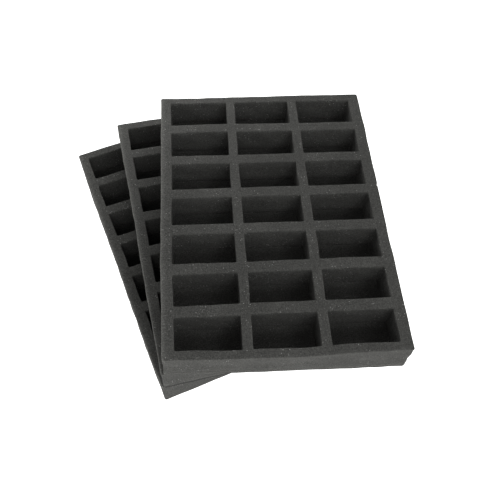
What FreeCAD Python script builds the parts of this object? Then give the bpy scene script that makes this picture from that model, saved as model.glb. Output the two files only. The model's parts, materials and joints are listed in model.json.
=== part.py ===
import FreeCAD
import Part
import os

# A set of three equal foam storage trays, stacked and fanned out about one vertical axis near a front corner.
# Each tray is a thick foam sheet die-cut with a grid of rectangular pockets, bonded by a thin adhesive film
# to a plain base sheet that closes the pockets from below. The film was laid on before the pockets were cut,
# so it has the same windows as the sheet above it, and a pocket's floor is bare foam.
#
# Frame: the trays' length runs along +Y and their width along +X, measured on the top tray. The origin is
# below the top tray's centre, on the surface that the bottom tray stands on. +Z is up.

# One tray, in millimetres
POCKETS_ACROSS = 3
POCKETS_ALONG = 7
POCKET_WIDTH = 51.0
POCKET_LENGTH = 27.0
RIB_BETWEEN_COLUMNS = 8.0
RIB_BETWEEN_ROWS = 9.5
SIDE_WALL = 9.0
END_WALL = 7.0
POCKET_SHEET_THICKNESS = 25.0
FILM_THICKNESS = 0.3
BASE_SHEET_THICKNESS = 6.5

# The stack: trays from the bottom up, each turned one step further about the fan axis than the one above it
TRAYS = ["bottom", "middle", "top"]
FAN_STEP_DEG = 9.8
FAN_AXIS_LEFT_OF_CORNER = 5.0
FAN_AXIS_IN_FRONT_OF_CORNER = 9.5

TRAY_WIDTH = (
    2 * SIDE_WALL
    + POCKETS_ACROSS * POCKET_WIDTH
    + (POCKETS_ACROSS - 1) * RIB_BETWEEN_COLUMNS
)
TRAY_LENGTH = (
    2 * END_WALL
    + POCKETS_ALONG * POCKET_LENGTH
    + (POCKETS_ALONG - 1) * RIB_BETWEEN_ROWS
)
TRAY_HEIGHT = BASE_SHEET_THICKNESS + FILM_THICKNESS + POCKET_SHEET_THICKNESS

UP = FreeCAD.Vector(0, 0, 1)
FAN_AXIS = FreeCAD.Vector(
    -TRAY_WIDTH / 2 - FAN_AXIS_LEFT_OF_CORNER,
    -TRAY_LENGTH / 2 - FAN_AXIS_IN_FRONT_OF_CORNER,
    0,
)


def slab(bottom_z, thickness):
    """A plain sheet with the tray's outline."""
    corner = FreeCAD.Vector(-TRAY_WIDTH / 2, -TRAY_LENGTH / 2, bottom_z)
    return Part.makeBox(TRAY_WIDTH, TRAY_LENGTH, thickness, corner)


def pocket_cutters(bottom_z, thickness):
    """The rectangular slugs that the die removes, each running past both faces of the sheet."""
    cutters = []
    for column in range(POCKETS_ACROSS):
        for row in range(POCKETS_ALONG):
            left = -TRAY_WIDTH / 2 + SIDE_WALL + column * (POCKET_WIDTH + RIB_BETWEEN_COLUMNS)
            front = -TRAY_LENGTH / 2 + END_WALL + row * (POCKET_LENGTH + RIB_BETWEEN_ROWS)
            corner = FreeCAD.Vector(left, front, bottom_z - thickness)
            cutters.append(Part.makeBox(POCKET_WIDTH, POCKET_LENGTH, 3 * thickness, corner))
    return cutters


def base_sheet():
    """The plain bottom sheet."""
    return slab(0, BASE_SHEET_THICKNESS)


def bond_film():
    """The adhesive film, with the pocket sheet's windows."""
    bottom_z = BASE_SHEET_THICKNESS
    return slab(bottom_z, FILM_THICKNESS).cut(pocket_cutters(bottom_z, FILM_THICKNESS))


def pocket_sheet():
    """The thick sheet with its grid of pockets."""
    bottom_z = BASE_SHEET_THICKNESS + FILM_THICKNESS
    return slab(bottom_z, POCKET_SHEET_THICKNESS).cut(pocket_cutters(bottom_z, POCKET_SHEET_THICKNESS))


SHEETS = {
    "base_sheet": base_sheet,
    "bond_film": bond_film,
    "pocket_sheet": pocket_sheet,
}


def only_solid(shape):
    """The one solid in a shape, so that the file holds a solid and not a compound."""
    if len(shape.Solids) != 1 or not shape.isValid():
        raise ValueError("a sheet has to be one valid solid")
    return shape.Solids[0]


def place_in_stack(sheet, level):
    """A sheet of the tray at this level, counted from the bottom, raised and turned into the fan."""
    steps_from_top = len(TRAYS) - 1 - level
    placed = sheet.copy()
    placed.translate(UP * (level * TRAY_HEIGHT))
    placed.rotate(FAN_AXIS, UP, steps_from_top * FAN_STEP_DEG)
    return placed


def build():
    os.makedirs("parts", exist_ok=True)
    for level, tray in enumerate(TRAYS):
        for name, make in SHEETS.items():
            sheet = only_solid(place_in_stack(make(), level))
            sheet.exportStep(f"parts/{tray}_{name}.step")
    print(f"tray {TRAY_WIDTH:.1f} x {TRAY_LENGTH:.1f} x {TRAY_HEIGHT:.1f} mm")
    print(f"fan axis at x {FAN_AXIS.x:.1f}, y {FAN_AXIS.y:.1f} mm")


build()
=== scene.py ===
import json
import math

import bpy
import numpy as np
from mathutils import Matrix, Vector


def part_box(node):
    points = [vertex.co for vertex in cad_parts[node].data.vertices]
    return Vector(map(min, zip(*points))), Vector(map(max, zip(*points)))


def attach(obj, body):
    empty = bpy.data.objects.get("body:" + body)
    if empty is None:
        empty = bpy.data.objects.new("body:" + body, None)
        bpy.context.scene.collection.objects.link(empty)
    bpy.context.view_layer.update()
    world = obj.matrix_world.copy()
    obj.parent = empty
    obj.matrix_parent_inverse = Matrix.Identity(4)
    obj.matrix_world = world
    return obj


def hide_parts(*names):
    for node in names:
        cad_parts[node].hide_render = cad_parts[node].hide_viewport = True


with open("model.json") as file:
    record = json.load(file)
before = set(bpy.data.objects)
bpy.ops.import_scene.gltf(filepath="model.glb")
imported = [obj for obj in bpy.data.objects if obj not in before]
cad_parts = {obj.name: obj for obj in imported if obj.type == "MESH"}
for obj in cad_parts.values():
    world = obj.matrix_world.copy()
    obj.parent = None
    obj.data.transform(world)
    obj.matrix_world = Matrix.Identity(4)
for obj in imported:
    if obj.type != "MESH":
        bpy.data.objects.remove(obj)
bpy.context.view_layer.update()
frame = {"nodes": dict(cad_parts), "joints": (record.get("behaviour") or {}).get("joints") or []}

MM = 0.001
TRAYS = ["bottom", "middle", "top"]

# Rounding of the cut edges
LIP = 0.6 * MM
OUTER_LIP = 1.0 * MM
UNDER_LIP = 0.25 * MM
BASE_TOP_LIP = 0.2 * MM
BASE_UNDER_LIP = {"bottom": 0.3 * MM, "middle": 0.4 * MM, "top": 0.3 * MM}
POCKET_CORNER = 1.1 * MM
OUTER_CORNER = 1.6 * MM
CORNER_FADE = 2.4 * MM

# The bond between the sheets: the film stands back, and the pocket sheet's lower edge hangs over it
FILM_RECESS = 0.55 * MM
SKIRT = 0.29 * MM

# Each tray's underside stands off the tray below by this gap
BASE_GAP = 0.12 * MM
GAP_HEIGHT = 4 * MM

# Grid lines, as parts of a lip's radius or of a corner's, and the widest step between lines
LIP_PARTS = (0.134, 0.5, 1.0)
CORNER_PARTS = (0.5, 1.0)
LEAST_STEP = 0.05 * MM
STEP_FINE = 2.1 * MM
STEP_COARSE = 4.5 * MM
POCKET_WALL_ROWS = 12
BASE_WALL_ROWS = 10
SHARP_ANGLE = math.radians(50)

# How far the cut wanders: the whole tray, each rib, and the walls between their edges
LONG_WAVE = 0.16 * MM
SHORT_WAVE = 0.10 * MM
ROW_BOW = 0.22 * MM
COLUMN_BOW = 0.16 * MM
RIB_MARGIN = 1 * MM
FRONT_FACE = 3 * MM
HOURGLASS = 0.35 * MM
POCKET_WALL_WAVE = 0.16 * MM
BASE_WALL_BULGE = 0.1 * MM
BASE_WALL_WAVE = 0.12 * MM
TOP_DIP = 0.12 * MM
TOP_WAVE = 0.06 * MM

# Where each tray was cut or pressed out of square. A pair is the amount at the rim's start and end.
NICK_Y = 22.0 * MM
CUT = {
    "bottom": {
        "front_bow": 0.4 * MM,
        "toe": 1.2 * MM,
        "back_rim": (1.4 * MM, 2.6 * MM),
        "right_rim": 0.3 * MM,
        "left_rim": (-0.7 * MM, 0.9 * MM),
        "pinch": 0.0,
        "nick": None,
    },
    "middle": {
        "front_bow": 0.4 * MM,
        "toe": 0.0,
        "back_rim": (1.4 * MM, 2.6 * MM),
        "right_rim": 0.3 * MM,
        "left_rim": (0.0, -0.9 * MM),
        "pinch": 0.0,
        "nick": None,
    },
    "top": {
        "front_bow": 1.6 * MM,
        "toe": 0.0,
        "back_rim": (0.1 * MM, 1.9 * MM),
        "right_rim": 0.7 * MM,
        "left_rim": (0.0, -1.1 * MM),
        "pinch": 1.6 * MM,
        "nick": NICK_Y,
    },
}

# Painted shade: how much darker the foot of each tray's front wall is, along its seam with what it stands on
PAINTED_FOOT_SHADE = {"bottom": 0.12, "middle": 0.72, "top": 0.12}


# ---------------------------------------------------------------- the frame's own numbers

def sorted_planes(values, tolerance=0.2 * MM):
    """The distinct plane positions among a mesh's coordinates."""
    planes = []
    for value in np.sort(values):
        if not planes or value - planes[-1] > tolerance:
            planes.append(float(value))
    return planes


def cad_points(node):
    """A CAD solid's vertices as rows of x, y, z."""
    mesh = frame["nodes"][node].data
    co = np.zeros(len(mesh.vertices) * 3)
    mesh.vertices.foreach_get("co", co)
    return co.reshape(-1, 3)


top_sheet = cad_points("top_pocket_sheet")
X_EDGES = sorted_planes(top_sheet[:, 0])
Y_EDGES = sorted_planes(top_sheet[:, 1])
TRAY_LEFT, TRAY_RIGHT = X_EDGES[0], X_EDGES[-1]
TRAY_FRONT, TRAY_BACK = Y_EDGES[0], Y_EDGES[-1]

# Heights of the sheets above their own tray's underside, and of each underside
SHEET_Z = {}
for kind in ("base_sheet", "bond_film", "pocket_sheet"):
    low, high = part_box(f"bottom_{kind}")
    SHEET_Z[kind] = (low.z, high.z)
LEVEL_Z = [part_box(f"{tray}_base_sheet")[0].z for tray in TRAYS]

JOINT = frame["joints"][0]
FAN_AXIS = Vector(JOINT["pos_m"])
FAN_STEP = -math.radians(JOINT["range_deg"][0])


# ---------------------------------------------------------------- shape of the cut

def smooth(t):
    """0 to 1 with a soft start and end."""
    t = np.clip(t, 0, 1)
    return t * t * (3 - 2 * t)


def fade(distance, reach):
    """1 at no distance, dying away over the reach."""
    return np.exp(-distance / reach)


def hump(distance, width):
    """1 at no distance, dying away on both sides."""
    return np.exp(-(distance / width) ** 2)


class Waves:
    """A smooth random field: a seeded sum of sines between two wavelengths."""

    def __init__(self, seed, shortest, longest, terms=7, dims=2):
        draw = np.random.RandomState(seed)
        direction = draw.normal(size=(terms, dims))
        direction /= np.linalg.norm(direction, axis=1)[:, None]
        length = shortest * (longest / shortest) ** draw.rand(terms)
        self.k = direction * (2 * math.pi / length)[:, None]
        self.phase = draw.rand(terms) * 2 * math.pi
        self.scale = math.sqrt(2 / terms)

    def __call__(self, *coords):
        total = 0
        for k, phase in zip(self.k, self.phase):
            total = total + np.sin(sum(a * c for a, c in zip(k, coords)) + phase)
        return total * self.scale


def bowed_ribs(across, along, rib_edges, pocket_edges, bows, ribs, lowest=-math.inf):
    """Sideways shift: each rib between two pockets bows a little on its own."""
    shift = np.zeros_like(across)
    for rib in ribs:
        near = max(rib_edges[2 * rib] - RIB_MARGIN, lowest)
        far = rib_edges[2 * rib + 1] + RIB_MARGIN
        inside = (across > near) & (across < far)
        for pocket in range(len(pocket_edges) // 2 - 1):
            start, end = pocket_edges[2 * pocket + 1], pocket_edges[2 * pocket + 2]
            t = np.clip((along - start) / (end - start), 0, 1)
            shift += np.where(inside, bows[rib, pocket] * np.sin(math.pi * t) ** 2, 0)
    return shift


class TrayShape:
    """How one hand-cut tray departs from its drawing. All its sheets follow the same field."""

    def __init__(self, seed, front_bow, toe, back_rim, right_rim, left_rim, pinch, nick):
        self.long_x = Waves(seed, 50 * MM, 130 * MM)
        self.long_y = Waves(seed + 1, 50 * MM, 130 * MM)
        self.short_x = Waves(seed + 2, 13 * MM, 30 * MM)
        self.short_y = Waves(seed + 3, 13 * MM, 30 * MM)
        self.top_z = Waves(seed + 4, 25 * MM, 90 * MM)
        self.wall = Waves(seed + 5, 9 * MM, 26 * MM, terms=10, dims=3)
        draw = np.random.RandomState(seed + 6)
        rows, columns = len(Y_EDGES) // 2, len(X_EDGES) // 2
        self.row_bow = draw.normal(0, ROW_BOW, (rows + 1, columns))
        self.column_bow = draw.normal(0, COLUMN_BOW, (columns + 1, rows))
        self.front_bow = front_bow
        self.toe = toe
        self.back_rim = back_rim
        self.right_rim = right_rim
        self.left_rim = left_rim
        self.pinch = pinch
        self.nick = nick

    def front_shift(self, x, y, level):
        """The front wall bulges at its upper middle, is hollow at the upper left, and its foot leans out."""
        bulge_at, bulge_width = 14 * MM, 27 * MM
        hollow, hollow_from, hollow_run = 0.7, -50 * MM, 35 * MM
        lean, lean_from, lean_run = 1.1, -50 * MM, 100 * MM
        reach = 22 * MM
        upper = hump(x - bulge_at, bulge_width) - hollow * smooth((hollow_from - x) / hollow_run)
        foot = lean * smooth((x - lean_from) / lean_run)
        bow = self.front_bow * (upper * level + foot * (1 - level))
        return -(bow + self.toe * (1 - level)) * fade(y - TRAY_FRONT, reach)

    def back_shift(self, x, y):
        """The back rim was cut wider, more so towards the right."""
        reach = 5 * MM
        across = (x - TRAY_LEFT) / (TRAY_RIGHT - TRAY_LEFT)
        start, end = self.back_rim
        return (start + (end - start) * across) * fade(TRAY_BACK - y, reach)

    def right_shift(self, x, y):
        """The right rim was cut wider, more so in its back half."""
        reach = 5 * MM
        more, more_from, more_run = 0.8, -30 * MM, 60 * MM
        along = 1 + more * smooth((y - more_from) / more_run)
        return self.right_rim * along * fade(TRAY_RIGHT - x, reach)

    def left_shift(self, x, y, level):
        """The left side leans, and its front corner is pinched in, more so at the top."""
        reach, corner_hold, corner_reach = 15 * MM, 0.7, 14 * MM
        pinch_reach, pinch_from, pinch_run, pinch_foot = 50 * MM, -45 * MM, 50 * MM, 0.4
        along = (y - TRAY_FRONT) / (TRAY_BACK - TRAY_FRONT)
        start, end = self.left_rim
        from_corner = 1 - corner_hold * fade(y - TRAY_FRONT, corner_reach)
        lean = start * (1 - along) * from_corner + end * along ** 4
        pinch = self.pinch * (pinch_foot + (1 - pinch_foot) * level)
        pinch = pinch * smooth((pinch_from - y) / pinch_run) * hump(x - TRAY_LEFT, pinch_reach)
        return lean * fade(x - TRAY_LEFT, reach) + pinch

    def nick_shift(self, x, y, z, height):
        """A small nick in the upper edge of the right side."""
        size, half_length, half_depth, half_height = 1.3 * MM, 1.1 * MM, 2.0 * MM, 2.5 * MM
        place_in_rim = hump(y - self.nick, half_length) * hump(TRAY_RIGHT - x, half_depth)
        return -size * place_in_rim * hump(height - z, half_height)

    def warp(self, x, y, z):
        """Where a point of the drawing really is. z counts from the tray's own underside."""
        height = SHEET_Z["pocket_sheet"][1]
        base_top = SHEET_Z["base_sheet"][1]
        rise = np.clip((z - base_top) / (height - base_top), 0, 1)
        level = np.clip(z / height, 0, 1)
        rib_x = bowed_ribs(
            x, y, X_EDGES, Y_EDGES, self.column_bow, range(1, len(X_EDGES) // 2 - 1)
        )
        rib_y = bowed_ribs(
            y, x, Y_EDGES, X_EDGES, self.row_bow, range(len(Y_EDGES) // 2), TRAY_FRONT + FRONT_FACE
        )
        dx = LONG_WAVE * self.long_x(x, y) + SHORT_WAVE * self.short_x(x, y) + rib_x * rise
        dy = LONG_WAVE * self.long_y(x, y) + SHORT_WAVE * self.short_y(x, y) + rib_y * rise
        dx = dx + self.right_shift(x, y) + self.left_shift(x, y, level)
        dy = dy + self.front_shift(x, y, level) + self.back_shift(x, y)
        if self.nick is not None:
            dx = dx + self.nick_shift(x, y, z, height)
        dip = TOP_DIP + TOP_WAVE * self.top_z(x, y)
        return x + dx, y + dy, z - dip * smooth(rise)


# ---------------------------------------------------------------- a sheet in plan

def grid_lines(edges, lip, corner, step, outer_lip, extra=()):
    """Grid lines through every wall edge, closer at the lips, evenly spread between them."""
    lines = []
    last = len(edges) - 1
    for i, edge in enumerate(edges):
        lines.append(edge)
        solid_side = 1 if i % 2 == 0 else -1
        radius = outer_lip if i in (0, last) else lip
        if radius:
            lines.extend(edge + solid_side * part * radius for part in LIP_PARTS)
        if i in (0, last):
            lines.append(edge + solid_side * OUTER_CORNER)
        elif corner:
            lines.extend(edge - solid_side * part * corner for part in CORNER_PARTS)
    lines.extend(extra)
    lines = sorted(lines)
    merged = [lines[0]]
    for value in lines[1:]:
        if value - merged[-1] > LEAST_STEP:
            merged.append(value)
    filled = [merged[0]]
    for value in merged[1:]:
        start = filled[-1]
        gap = value - start
        parts = max(1, math.ceil(gap / step - 0.05))
        filled.extend(start + gap * (k + 1) / parts for k in range(parts))
    return np.array(filled)


def beyond_pockets(values, edges):
    """How far each value is outside its nearest pocket interval: below zero inside one."""
    best = np.full(values.shape, np.inf)
    centre = np.zeros(values.shape)
    for i in range(1, len(edges) - 1, 2):
        low, high = edges[i], edges[i + 1]
        out = np.maximum(low - values, values - high)
        nearer = out < best
        best = np.where(nearer, out, best)
        centre = np.where(nearer, (low + high) / 2, centre)
    return best, np.sign(values - centre)


def round_pocket_corners(x, y):
    """Moves the grid nodes near each pocket's corners onto arcs."""
    tiny = 1e-9
    radius = POCKET_CORNER
    a, side_x = beyond_pockets(x, X_EDGES)
    b, side_y = beyond_pockets(y, Y_EDGES)
    reach, short = np.maximum(a, b), np.minimum(a, b)
    near = (short >= -radius - tiny) & (reach >= -tiny)
    angle = math.pi / 4 * (short + radius) / np.maximum(reach + radius, tiny)
    across = (reach + radius) * np.sin(angle) - radius
    outward = (reach + radius) * np.cos(angle) - radius
    keep = 1 - smooth((reach - LIP) / CORNER_FADE)
    new_a = np.where(a >= b, outward, across)
    new_b = np.where(a >= b, across, outward)
    x = x + np.where(near, side_x * (new_a - a) * keep, 0)
    y = y + np.where(near, side_y * (new_b - b) * keep, 0)
    return x, y


def round_outer_corners(x, y):
    """Moves the grid nodes near the tray's own four corners onto arcs."""
    tiny = 1e-9
    radius = OUTER_CORNER
    u = np.minimum(x - TRAY_LEFT, TRAY_RIGHT - x)
    v = np.minimum(y - TRAY_FRONT, TRAY_BACK - y)
    near = (u < radius) & (v < radius)
    nearest, farthest = np.minimum(u, v), np.maximum(u, v)
    room = np.maximum(radius - nearest, tiny)
    angle = math.pi / 4 * (1 - (farthest - nearest) / room)
    along = radius - room * np.sin(angle)
    inward = radius - room * np.cos(angle)
    new_u = np.where(u >= v, along, inward)
    new_v = np.where(u >= v, inward, along)
    x = x + np.where(near, np.where(x < 0, 1, -1) * (new_u - u), 0)
    y = y + np.where(near, np.where(y < 0, 1, -1) * (new_v - v), 0)
    return x, y


def outline_edges(solid):
    """Grid edges around the solid cells, as rows (i, j, next i, next j) with the solid on the left."""
    padded = np.pad(solid, 1)
    edges = []
    i, j = np.nonzero(padded[1:-1, 1:] & ~padded[1:-1, :-1])
    edges.append(np.stack([i, j, i + 1, j], 1))
    i, j = np.nonzero(~padded[1:-1, 1:] & padded[1:-1, :-1])
    edges.append(np.stack([i + 1, j, i, j], 1))
    i, j = np.nonzero(padded[1:, 1:-1] & ~padded[:-1, 1:-1])
    edges.append(np.stack([i, j + 1, i, j], 1))
    i, j = np.nonzero(~padded[1:, 1:-1] & padded[:-1, 1:-1])
    edges.append(np.stack([i, j, i, j + 1], 1))
    return np.concatenate(edges)


class Plan:
    """A sheet seen from above: its grid nodes, its solid cells and its outline."""

    def __init__(self, pocketed, step, lip, outer_lip, extra_y):
        corner = POCKET_CORNER if pocketed else 0
        x_edges = X_EDGES if pocketed else [TRAY_LEFT, TRAY_RIGHT]
        y_edges = Y_EDGES if pocketed else [TRAY_FRONT, TRAY_BACK]
        xs = grid_lines(x_edges, lip, corner, step, outer_lip)
        ys = grid_lines(y_edges, lip, corner, step, outer_lip, extra_y)
        x, y = np.meshgrid(xs, ys, indexing="ij")
        solid = np.ones((len(xs) - 1, len(ys) - 1), bool)
        from_pocket = np.full(x.shape, 1.0)
        from_outside = np.minimum(
            np.minimum(x - TRAY_LEFT, TRAY_RIGHT - x), np.minimum(y - TRAY_FRONT, TRAY_BACK - y)
        )
        if pocketed:
            mid_x, _ = beyond_pockets((xs[1:] + xs[:-1]) / 2, X_EDGES)
            mid_y, _ = beyond_pockets((ys[1:] + ys[:-1]) / 2, Y_EDGES)
            solid = ~((mid_x[:, None] < 0) & (mid_y[None, :] < 0))
            beyond = np.maximum(beyond_pockets(x, X_EDGES)[0], beyond_pockets(y, Y_EDGES)[0])
            from_pocket = np.maximum(beyond, 0)
            x, y = round_pocket_corners(x, y)
        x, y = round_outer_corners(x, y)

        used = np.zeros(x.shape, bool)
        for di in (0, 1):
            for dj in (0, 1):
                used[di:solid.shape[0] + di, dj:solid.shape[1] + dj] |= solid
        self.count = int(used.sum())
        index = np.full(x.shape, -1)
        index[used] = np.arange(self.count)
        self.x, self.y = x[used], y[used]
        self.from_outside, self.from_pocket = from_outside[used], from_pocket[used]

        i, j = np.nonzero(solid)
        self.cells = np.stack([index[i, j], index[i + 1, j], index[i + 1, j + 1], index[i, j + 1]], 1)
        outline = outline_edges(solid)
        self.start = index[outline[:, 0], outline[:, 1]]
        self.end = index[outline[:, 2], outline[:, 3]]
        self.rim, self.normal = self.rim_normals()

    def rim_normals(self):
        """The outline's nodes, and their outward normals in plan."""
        along = np.stack(
            [self.x[self.end] - self.x[self.start], self.y[self.end] - self.y[self.start]], 1
        )
        along /= np.maximum(np.linalg.norm(along, axis=1), 1e-12)[:, None]
        outward = np.stack([along[:, 1], -along[:, 0]], 1)
        normal = np.zeros((self.count, 2))
        np.add.at(normal, self.start, outward)
        np.add.at(normal, self.end, outward)
        length = np.linalg.norm(normal, axis=1)
        rim = np.nonzero(length > 0)[0]
        return rim, normal[rim] / length[rim][:, None]


# ---------------------------------------------------------------- a sheet in the round

def lip_drop(distance, radius):
    """How far a rounded edge has fallen away at this distance from the wall."""
    if not radius:
        return np.zeros_like(distance)
    reach = np.clip(radius - distance, 0, radius)
    return radius - np.sqrt(radius * radius - reach * reach)


def wall_rings(plan, shape, rows, top_z, bottom_z, pocketed):
    """The rings of points between the walls' upper and lower edges, where the foam bows and waves."""
    wave_onset = 2.2
    x, y = plan.x[plan.rim], plan.y[plan.rim]
    rings = []
    for row in range(1, rows):
        t = row / rows
        z = top_z + (bottom_z - top_z) * t
        window = math.sin(math.pi * t)
        field = shape.wall(x, y, z)
        if pocketed:
            push = POCKET_WALL_WAVE * field * min(1, wave_onset * window) - HOURGLASS * window
        else:
            push = (BASE_WALL_BULGE + BASE_WALL_WAVE * field) * window
        rings.append(np.stack([x + plan.normal[:, 0] * push, y + plan.normal[:, 1] * push, z], 1))
    return rings


def wear_and_painted_light_of(plan, rings, points, low, high, painted_foot_shade):
    """Above zero where the foam is paler: real wear on the cut edges plus a painted highlight on the lips,
    strongest along the left edges. Below zero where painted shade darkens the foot of the walls, mostly the
    front wall, with a painted highlight band just above it.
    """
    edge_wear_and_highlight, edge_width, wall_depth, left_highlight_width = 0.09, 0.8 * MM, 0.9 * MM, 1.6 * MM
    front_reach, front_least = 5 * MM, 0.2
    foot_band, corner_more, corner_reach = 2.6 * MM, 0.5, 14 * MM
    painted_highlight_band, highlight_at, highlight_width = 0.17, 5.0 * MM, 1.5 * MM

    count, rim = plan.count, plan.rim
    from_left = np.maximum(points[:, 0] - TRAY_LEFT, 0)
    from_front = np.maximum(points[rim, 1] - TRAY_FRONT, 0)
    # Painted highlight along the left edges' lips, standing in for light from the left
    left_painted_highlight = fade(from_left, left_highlight_width)
    # Painted shade at the foot of the walls, strongest on the front wall
    shade = painted_foot_shade * (front_least + (1 - front_least) * fade(from_front, front_reach))
    band = foot_band * (1 + corner_more * fade(from_left[rim], corner_reach))

    wear_light_shade = np.zeros(len(points))
    from_edge = np.minimum(plan.from_outside, plan.from_pocket)
    # Real edge wear plus painted highlight on the lips of the top
    wear_light_shade[:count] = np.maximum(edge_wear_and_highlight * fade(from_edge, edge_width), left_painted_highlight[:count])
    for k, ring in enumerate(rings):
        start = 2 * count + k * len(rim)
        here = slice(start, start + len(rim))
        depth, height = high - ring[:, 2], ring[:, 2] - low
        wear_light_shade[here] = fade(depth, wall_depth) * np.maximum(edge_wear_and_highlight, left_painted_highlight[here])
        # Painted shade along the wall's foot, and a painted highlight band a little above it
        wear_light_shade[here] += shade * (painted_highlight_band * hump(height - highlight_at, highlight_width) - hump(height, band))
    wear_light_shade[rim + count] -= shade
    return wear_light_shade


def quad_mesh(name, points, faces):
    """A smooth-shaded mesh of quads, with its real edges kept sharp."""
    mesh = bpy.data.meshes.new(name)
    mesh.vertices.add(len(points))
    mesh.loops.add(faces.size)
    mesh.polygons.add(len(faces))
    mesh.vertices.foreach_set("co", points.astype(np.float32).ravel())
    mesh.loops.foreach_set("vertex_index", faces.astype(np.int32).ravel())
    mesh.polygons.foreach_set("loop_start", np.arange(0, faces.size, 4, dtype=np.int32))
    mesh.polygons.foreach_set("use_smooth", np.ones(len(faces), bool))
    mesh.update(calc_edges=True)
    mesh.validate()
    mesh.set_sharp_from_angle(angle=SHARP_ANGLE)
    return mesh


def sheet(
    name, shape, low, high, pocketed, step, wall_rows,
    lip=0.0, outer_lip=0.0, under_lip=0.0, skirt=0.0, inset=0.0, painted_foot_shade=0.0, extra_y=(),
):
    """One closed foam or film sheet: a grid plate with walls around its outline and its pockets."""
    plan = Plan(pocketed, step, lip, outer_lip, extra_y)
    count, rim = plan.count, plan.rim
    top_z = high - np.maximum(lip_drop(plan.from_outside, outer_lip), lip_drop(plan.from_pocket, lip))
    hang = skirt * (1 - smooth(plan.from_pocket / FILM_RECESS))
    bottom_z = low + lip_drop(plan.from_outside, under_lip) - hang
    rings = wall_rings(plan, shape, wall_rows, top_z[rim], bottom_z[rim], pocketed)
    top = np.stack([plan.x, plan.y, top_z], 1)
    bottom = np.stack([plan.x, plan.y, bottom_z], 1)
    top[rim, :2] -= inset * plan.normal
    bottom[rim, :2] -= inset * plan.normal
    points = np.concatenate([top, bottom, *rings])

    place_in_ring = np.full(count, -1)
    place_in_ring[rim] = np.arange(len(rim))

    def node(row, flat):
        """The points of one row of the wall, from 0 at its upper edge."""
        if row == 0:
            return flat
        if row == wall_rows:
            return flat + count
        return 2 * count + (row - 1) * len(rim) + place_in_ring[flat]

    faces = [plan.cells, plan.cells[:, ::-1] + count]
    for row in range(wall_rows):
        upper, lower = row, row + 1
        faces.append(np.stack([
            node(lower, plan.start), node(lower, plan.end), node(upper, plan.end), node(upper, plan.start)
        ], 1))

    x, y, z = shape.warp(*points.T)
    z = z + BASE_GAP * np.clip(1 - points[:, 2] / GAP_HEIGHT, 0, 1)
    mesh = quad_mesh(name, np.stack([x, y, z], 1), np.concatenate(faces))
    # The layer carries real edge wear plus painted highlight and painted shade, read by the foam material
    wear_light_layer = mesh.attributes.new("lip_wear_and_painted_light", "FLOAT", "POINT")
    wear_light_shade = wear_and_painted_light_of(plan, rings, points, low, high, painted_foot_shade)
    wear_light_layer.data.foreach_set("value", wear_light_shade.astype(np.float32))

    ob = bpy.data.objects.new(name, mesh)
    bpy.context.scene.collection.objects.link(ob)
    return ob


def place(ob, level):
    """Lifts a tray's sheet to its level and turns it into the fan."""
    turn = FAN_STEP * (len(TRAYS) - 1 - level)
    about = Vector((FAN_AXIS.x, FAN_AXIS.y, 0))
    matrix = (
        Matrix.Translation(about + Vector((0, 0, LEVEL_Z[level])))
        @ Matrix.Rotation(turn, 4, "Z")
        @ Matrix.Translation(-about)
    )
    ob.data.transform(matrix)
    ob.data.update()


# ---------------------------------------------------------------- materials

class Tree:
    """Short calls for building a node tree from empty."""

    def __init__(self, owner):
        owner.use_nodes = True
        self.nodes = owner.node_tree.nodes
        self.links = owner.node_tree.links
        self.nodes.clear()

    def node(self, kind, **settings):
        made = self.nodes.new(kind)
        for key, value in settings.items():
            setattr(made, key, value)
        return made

    def feed(self, socket, value):
        if isinstance(value, bpy.types.NodeSocket):
            self.links.new(value, socket)
        else:
            socket.default_value = value

    def noise(self, vector, scale, detail):
        made = self.node("ShaderNodeTexNoise")
        self.feed(made.inputs["Vector"], vector)
        made.inputs["Scale"].default_value = scale
        made.inputs["Detail"].default_value = detail
        return made.outputs["Fac"]

    def cells(self, vector, scale):
        made = self.node("ShaderNodeTexVoronoi")
        self.feed(made.inputs["Vector"], vector)
        made.inputs["Scale"].default_value = scale
        return made

    def math(self, operation, a, b):
        made = self.node("ShaderNodeMath", operation=operation)
        self.feed(made.inputs[0], a)
        self.feed(made.inputs[1], b)
        return made.outputs[0]

    def remap(self, value, low, high, new_low, new_high):
        made = self.node("ShaderNodeMapRange", clamp=True)
        for socket, number in zip(made.inputs, (value, low, high, new_low, new_high)):
            self.feed(socket, number)
        return made.outputs[0]

    def mix(self, factor, a, b, blend="MIX"):
        made = self.node("ShaderNodeMix", data_type="RGBA", blend_type=blend)
        self.feed(made.inputs[0], factor)
        self.feed(made.inputs[6], a)
        self.feed(made.inputs[7], b)
        return made.outputs[2]

    def bump(self, height, strength, distance):
        made = self.node("ShaderNodeBump")
        made.inputs["Strength"].default_value = strength
        made.inputs["Distance"].default_value = distance
        self.feed(made.inputs["Height"], height)
        return made.outputs["Normal"]

    def surface(self, shader):
        out = self.node("ShaderNodeOutputMaterial")
        self.feed(out.inputs["Surface"], shader.outputs[0])


def toned(colour, tone):
    """A colour made lighter or darker, as RGBA."""
    return (*(channel * tone for channel in colour), 1)


# Colours, and how steady noise is stretched to the full range
FOAM_DARK = (0.045, 0.045, 0.0423)
FOAM_PALE = (0.074, 0.074, 0.0696)
GLINT = (0.30, 0.30, 0.29)
FILM_DARK = (0.018, 0.018, 0.017, 1)
FILM_PALE = (0.034, 0.034, 0.032, 1)
NOISE_SPAN = (0.3, 0.7)
# How strongly the layer of edge wear, painted highlight and painted shade changes the colour
WEAR_LIGHT_GAIN = 1.3


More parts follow.
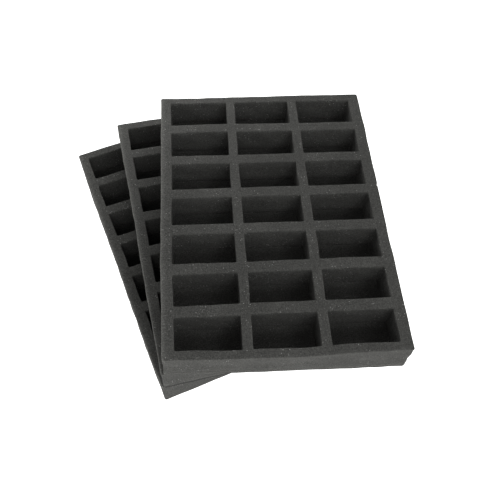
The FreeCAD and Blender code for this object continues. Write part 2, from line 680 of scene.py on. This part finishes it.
def foam_material(name, tone, offset, sparkle=1.0):
    """Charcoal open-cell foam: fine cells with painted shade in their hollows, soft blotches, a few cell
    faces that glint, and the mesh's edge wear with its painted highlight and painted shade.
    """
    material = bpy.data.materials.new(name)
    t = Tree(material)
    shift = t.node("ShaderNodeMapping")
    t.feed(shift.inputs["Vector"], t.node("ShaderNodeTexCoord").outputs["Object"])
    shift.inputs["Location"].default_value = offset
    at = shift.outputs["Vector"]

    cell = t.cells(at, scale=1300)
    speck = t.cells(at, scale=800)
    tint = t.noise(at, scale=900, detail=1.0)
    blotch = t.noise(at, scale=45, detail=3.0)
    cloud = t.noise(at, scale=14, detail=2.0)
    cluster = t.noise(at, scale=70, detail=2.0)

    base = t.mix(t.remap(tint, *NOISE_SPAN, 0.0, 1.0), toned(FOAM_DARK, tone), toned(FOAM_PALE, tone))
    shade = t.math(
        "MULTIPLY", t.remap(blotch, *NOISE_SPAN, 0.90, 1.10), t.remap(cloud, *NOISE_SPAN, 0.95, 1.05)
    )
    # Painted shade: darker in the hollows between the bump's cells
    pit_shade = t.remap(cell.outputs["Distance"], 0.15, 0.75, 1.12, 0.78)
    shade = t.math("MULTIPLY", shade, pit_shade)
    # Real edge wear plus painted highlight on the lips and painted shade at the walls' foot, from the mesh's
    # layer
    wear_light_layer = t.node("ShaderNodeAttribute", attribute_name="lip_wear_and_painted_light")
    wear_light_shade = t.math("ADD", t.math("MULTIPLY", wear_light_layer.outputs["Fac"], WEAR_LIGHT_GAIN), 1.0)
    shade = t.math("MULTIPLY", shade, wear_light_shade)
    grey = t.node("ShaderNodeCombineXYZ")
    for axis in range(3):
        t.feed(grey.inputs[axis], shade)
    base = t.mix(1.0, base, grey.outputs[0], blend="MULTIPLY")

    # The cells that glint are rare, and come in loose clusters
    draw = t.node("ShaderNodeSeparateColor")
    t.feed(draw.inputs[0], speck.outputs["Color"])
    rarity = t.remap(cluster, 0.47, 0.66, 0.992, 0.72)
    rare = t.math("GREATER_THAN", draw.outputs[0], rarity)
    centre = t.remap(speck.outputs["Distance"], 0.16, 0.40, 1.0, 0.0)
    strength = t.remap(draw.outputs[1], 0.0, 1.0, 0.15 * sparkle, 0.9 * sparkle)
    glint = t.math("MULTIPLY", t.math("MULTIPLY", rare, centre), strength)
    base = t.mix(glint, base, toned(GLINT, tone))

    height = t.math(
        "SUBTRACT", t.math("MULTIPLY", cell.outputs["Distance"], -1.0), t.math("MULTIPLY", tint, -0.5)
    )
    shader = t.node("ShaderNodeBsdfPrincipled")
    t.feed(shader.inputs["Base Color"], base)
    t.feed(shader.inputs["Normal"], t.bump(height, strength=0.55, distance=0.5 * MM))
    t.feed(shader.inputs["Roughness"], t.remap(tint, *NOISE_SPAN, 0.98, 0.85))
    shader.inputs["Specular IOR Level"].default_value = 0.15
    t.surface(shader)
    return material


def film_material():
    """The adhesive film: almost black, a little shinier than the foam."""
    material = bpy.data.materials.new("adhesive_film")
    t = Tree(material)
    at = t.node("ShaderNodeTexCoord").outputs["Object"]
    smear = t.noise(at, scale=60, detail=3.0)
    grain = t.noise(at, scale=500, detail=2.0)
    shader = t.node("ShaderNodeBsdfPrincipled")
    t.feed(shader.inputs["Base Color"], t.mix(smear, FILM_DARK, FILM_PALE))
    t.feed(shader.inputs["Roughness"], t.remap(smear, *NOISE_SPAN, 0.45, 0.7))
    shader.inputs["Specular IOR Level"].default_value = 0.4
    t.feed(shader.inputs["Normal"], t.bump(grain, strength=0.3, distance=0.3 * MM))
    t.surface(shader)
    return material


# ---------------------------------------------------------------- the trays

NICK_LINES = [NICK_Y + k * 0.7 * MM for k in range(-3, 4)]
BASE_TONE = 1.04
BASE_SPARKLE = 0.4

film = film_material()
for level, tray in enumerate(TRAYS):
    shape = TrayShape(seed=40 + 17 * level, **CUT[tray])
    pieces = {
        "pocket_sheet": sheet(
            f"{tray}_pocket_foam", shape, *SHEET_Z["pocket_sheet"], pocketed=True, step=STEP_FINE,
            wall_rows=POCKET_WALL_ROWS, lip=LIP, outer_lip=OUTER_LIP, under_lip=UNDER_LIP, skirt=SKIRT,
            extra_y=NICK_LINES if CUT[tray]["nick"] is not None else (),
        ),
        "bond_film": sheet(
            f"{tray}_bond_layer", shape, *SHEET_Z["bond_film"], pocketed=True, step=STEP_COARSE,
            wall_rows=1, inset=FILM_RECESS,
        ),
        "base_sheet": sheet(
            f"{tray}_base_foam", shape, *SHEET_Z["base_sheet"], pocketed=False, step=STEP_COARSE,
            wall_rows=BASE_WALL_ROWS, outer_lip=BASE_TOP_LIP, under_lip=BASE_UNDER_LIP[tray],
            painted_foot_shade=PAINTED_FOOT_SHADE[tray],
        ),
    }
    # Every sheet shows another part of the same foam
    offset = (0.31 * level, 0.17 * level, 0.05 * level)
    base_offset = (offset[0] + 0.5, offset[1], 0.3)
    skins = {
        "pocket_sheet": foam_material(f"{tray}_cut_foam", 1.0, offset),
        "bond_film": film,
        "base_sheet": foam_material(f"{tray}_base_foam_skin", BASE_TONE, base_offset, BASE_SPARKLE),
    }
    for kind, piece in pieces.items():
        place(piece, level)
        piece.data.materials.append(skins[kind])
        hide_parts(f"{tray}_{kind}")
        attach(piece, f"{tray}_tray")


# ---------------------------------------------------------------- floor, light and camera

def direction(azimuth, elevation):
    """Unit vector to an azimuth (0 is in front, turning to the right) and an elevation, in degrees."""
    a, e = math.radians(azimuth), math.radians(elevation)
    return Vector((math.sin(a) * math.cos(e), -math.cos(a) * math.cos(e), math.sin(e)))


def aim(ob, location, target, roll=0.0):
    """Puts a light or camera somewhere, looking at the target."""
    turn = (target - location).normalized().to_track_quat("-Z", "Y").to_matrix().to_4x4()
    ob.matrix_world = Matrix.Translation(location) @ turn @ Matrix.Rotation(roll, 4, "Z")


FLOOR_HALF = 4.0
FLOOR_GREY = (0.6, 0.6, 0.595, 1)
FLOOR_GLOW = (1, 1, 0.99, 1)
FLOOR_GLOW_STRENGTH = 1.35

floor_mesh = bpy.data.meshes.new("floor")
floor_mesh.from_pydata(
    [(x * FLOOR_HALF, y * FLOOR_HALF, 0) for x, y in ((-1, -1), (1, -1), (1, 1), (-1, 1))],
    [],
    [(0, 1, 2, 3)],
)
floor = bpy.data.objects.new("floor", floor_mesh)
bpy.context.scene.collection.objects.link(floor)
pale_floor = bpy.data.materials.new("pale_floor")
floor_tree = Tree(pale_floor)
floor_shader = floor_tree.node("ShaderNodeBsdfPrincipled")
floor_shader.inputs["Base Color"].default_value = FLOOR_GREY
floor_shader.inputs["Roughness"].default_value = 0.9
floor_shader.inputs["Specular IOR Level"].default_value = 0.0
floor_shader.inputs["Emission Color"].default_value = FLOOR_GLOW
floor_shader.inputs["Emission Strength"].default_value = FLOOR_GLOW_STRENGTH
floor_tree.surface(floor_shader)
floor_mesh.materials.append(pale_floor)

# A light tent: bright low walls, dark overhead, and one wide panel in front.
# Each band is an elevation and a brightness, and the higher part is brighter on one side.
WORLD_BANDS = [(0.0, 1.05), (20.0, 0.95), (35.0, 0.87), (50.0, 1.13), (65.0, 0.15), (90.0, 0.03)]
BRIGHT_SIDE = direction(116, 0)
SIDE_SWING = 0.46

world = bpy.data.worlds.new("studio")
bpy.context.scene.world = world
sky_tree = Tree(world)
towards = sky_tree.node("ShaderNodeTexCoord").outputs["Generated"]
split = sky_tree.node("ShaderNodeSeparateXYZ")
sky_tree.feed(split.inputs[0], towards)
ramp = sky_tree.node("ShaderNodeValToRGB")
brightest = max(brightness for _, brightness in WORLD_BANDS)
stops = ramp.color_ramp.elements
while len(stops) < len(WORLD_BANDS):
    stops.new(0.5)
for stop, (elevation, brightness) in zip(stops, WORLD_BANDS):
    stop.position = math.sin(math.radians(elevation))
    stop.color = (brightness / brightest,) * 3 + (1,)
sky_tree.feed(ramp.inputs["Fac"], split.outputs["Z"])
facing = sky_tree.node("ShaderNodeVectorMath", operation="DOT_PRODUCT")
sky_tree.feed(facing.inputs[0], towards)
sky_tree.feed(facing.inputs[1], BRIGHT_SIDE)
tilt = sky_tree.math("MULTIPLY", facing.outputs["Value"], split.outputs["Z"])
swing = sky_tree.math("MULTIPLY", tilt, 2 * SIDE_SWING * brightest)
sky = sky_tree.node("ShaderNodeBackground")
sky_tree.feed(sky.inputs["Color"], ramp.outputs["Color"])
sky_tree.feed(sky.inputs["Strength"], sky_tree.math("ADD", swing, brightest))
world_out = sky_tree.node("ShaderNodeOutputWorld")
sky_tree.feed(world_out.inputs["Surface"], sky.outputs[0])

LIGHT_TARGET = Vector((0, 0, 50 * MM))


def panel(name, azimuth, elevation, distance, width, height, power):
    """A soft rectangular light, facing the trays and itself out of sight."""
    data = bpy.data.lights.new(name, "AREA")
    data.shape = "RECTANGLE"
    data.size = width
    data.size_y = height
    data.energy = power
    lamp = bpy.data.objects.new(name, data)
    bpy.context.scene.collection.objects.link(lamp)
    lamp.visible_camera = False
    aim(lamp, direction(azimuth, elevation) * distance, LIGHT_TARGET)


panel("key", azimuth=14.5, elevation=44, distance=1.5, width=1.1, height=0.26, power=6.3)
panel("corner_fill", azimuth=-157.5, elevation=33.5, distance=0.31, width=0.14, height=0.1, power=0.25)

CAMERA_TARGET = Vector((-21.9 * MM, -39.8 * MM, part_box("top_pocket_sheet")[1].z))
CAMERA_DISTANCE = 450.3 * MM
CAMERA_AZIMUTH, CAMERA_ELEVATION, CAMERA_ROLL = -8.44, 59.35, 5.08

lens = bpy.data.cameras.new("camera")
lens.sensor_width = 36.0
lens.lens = 40.36
lens.clip_start = 10 * MM
camera = bpy.data.objects.new("camera", lens)
bpy.context.scene.collection.objects.link(camera)
camera_place = CAMERA_TARGET + direction(CAMERA_AZIMUTH, CAMERA_ELEVATION) * CAMERA_DISTANCE
aim(camera, camera_place, CAMERA_TARGET, math.radians(CAMERA_ROLL))
bpy.context.scene.camera = camera
bpy.context.scene.view_settings.view_transform = "Standard"
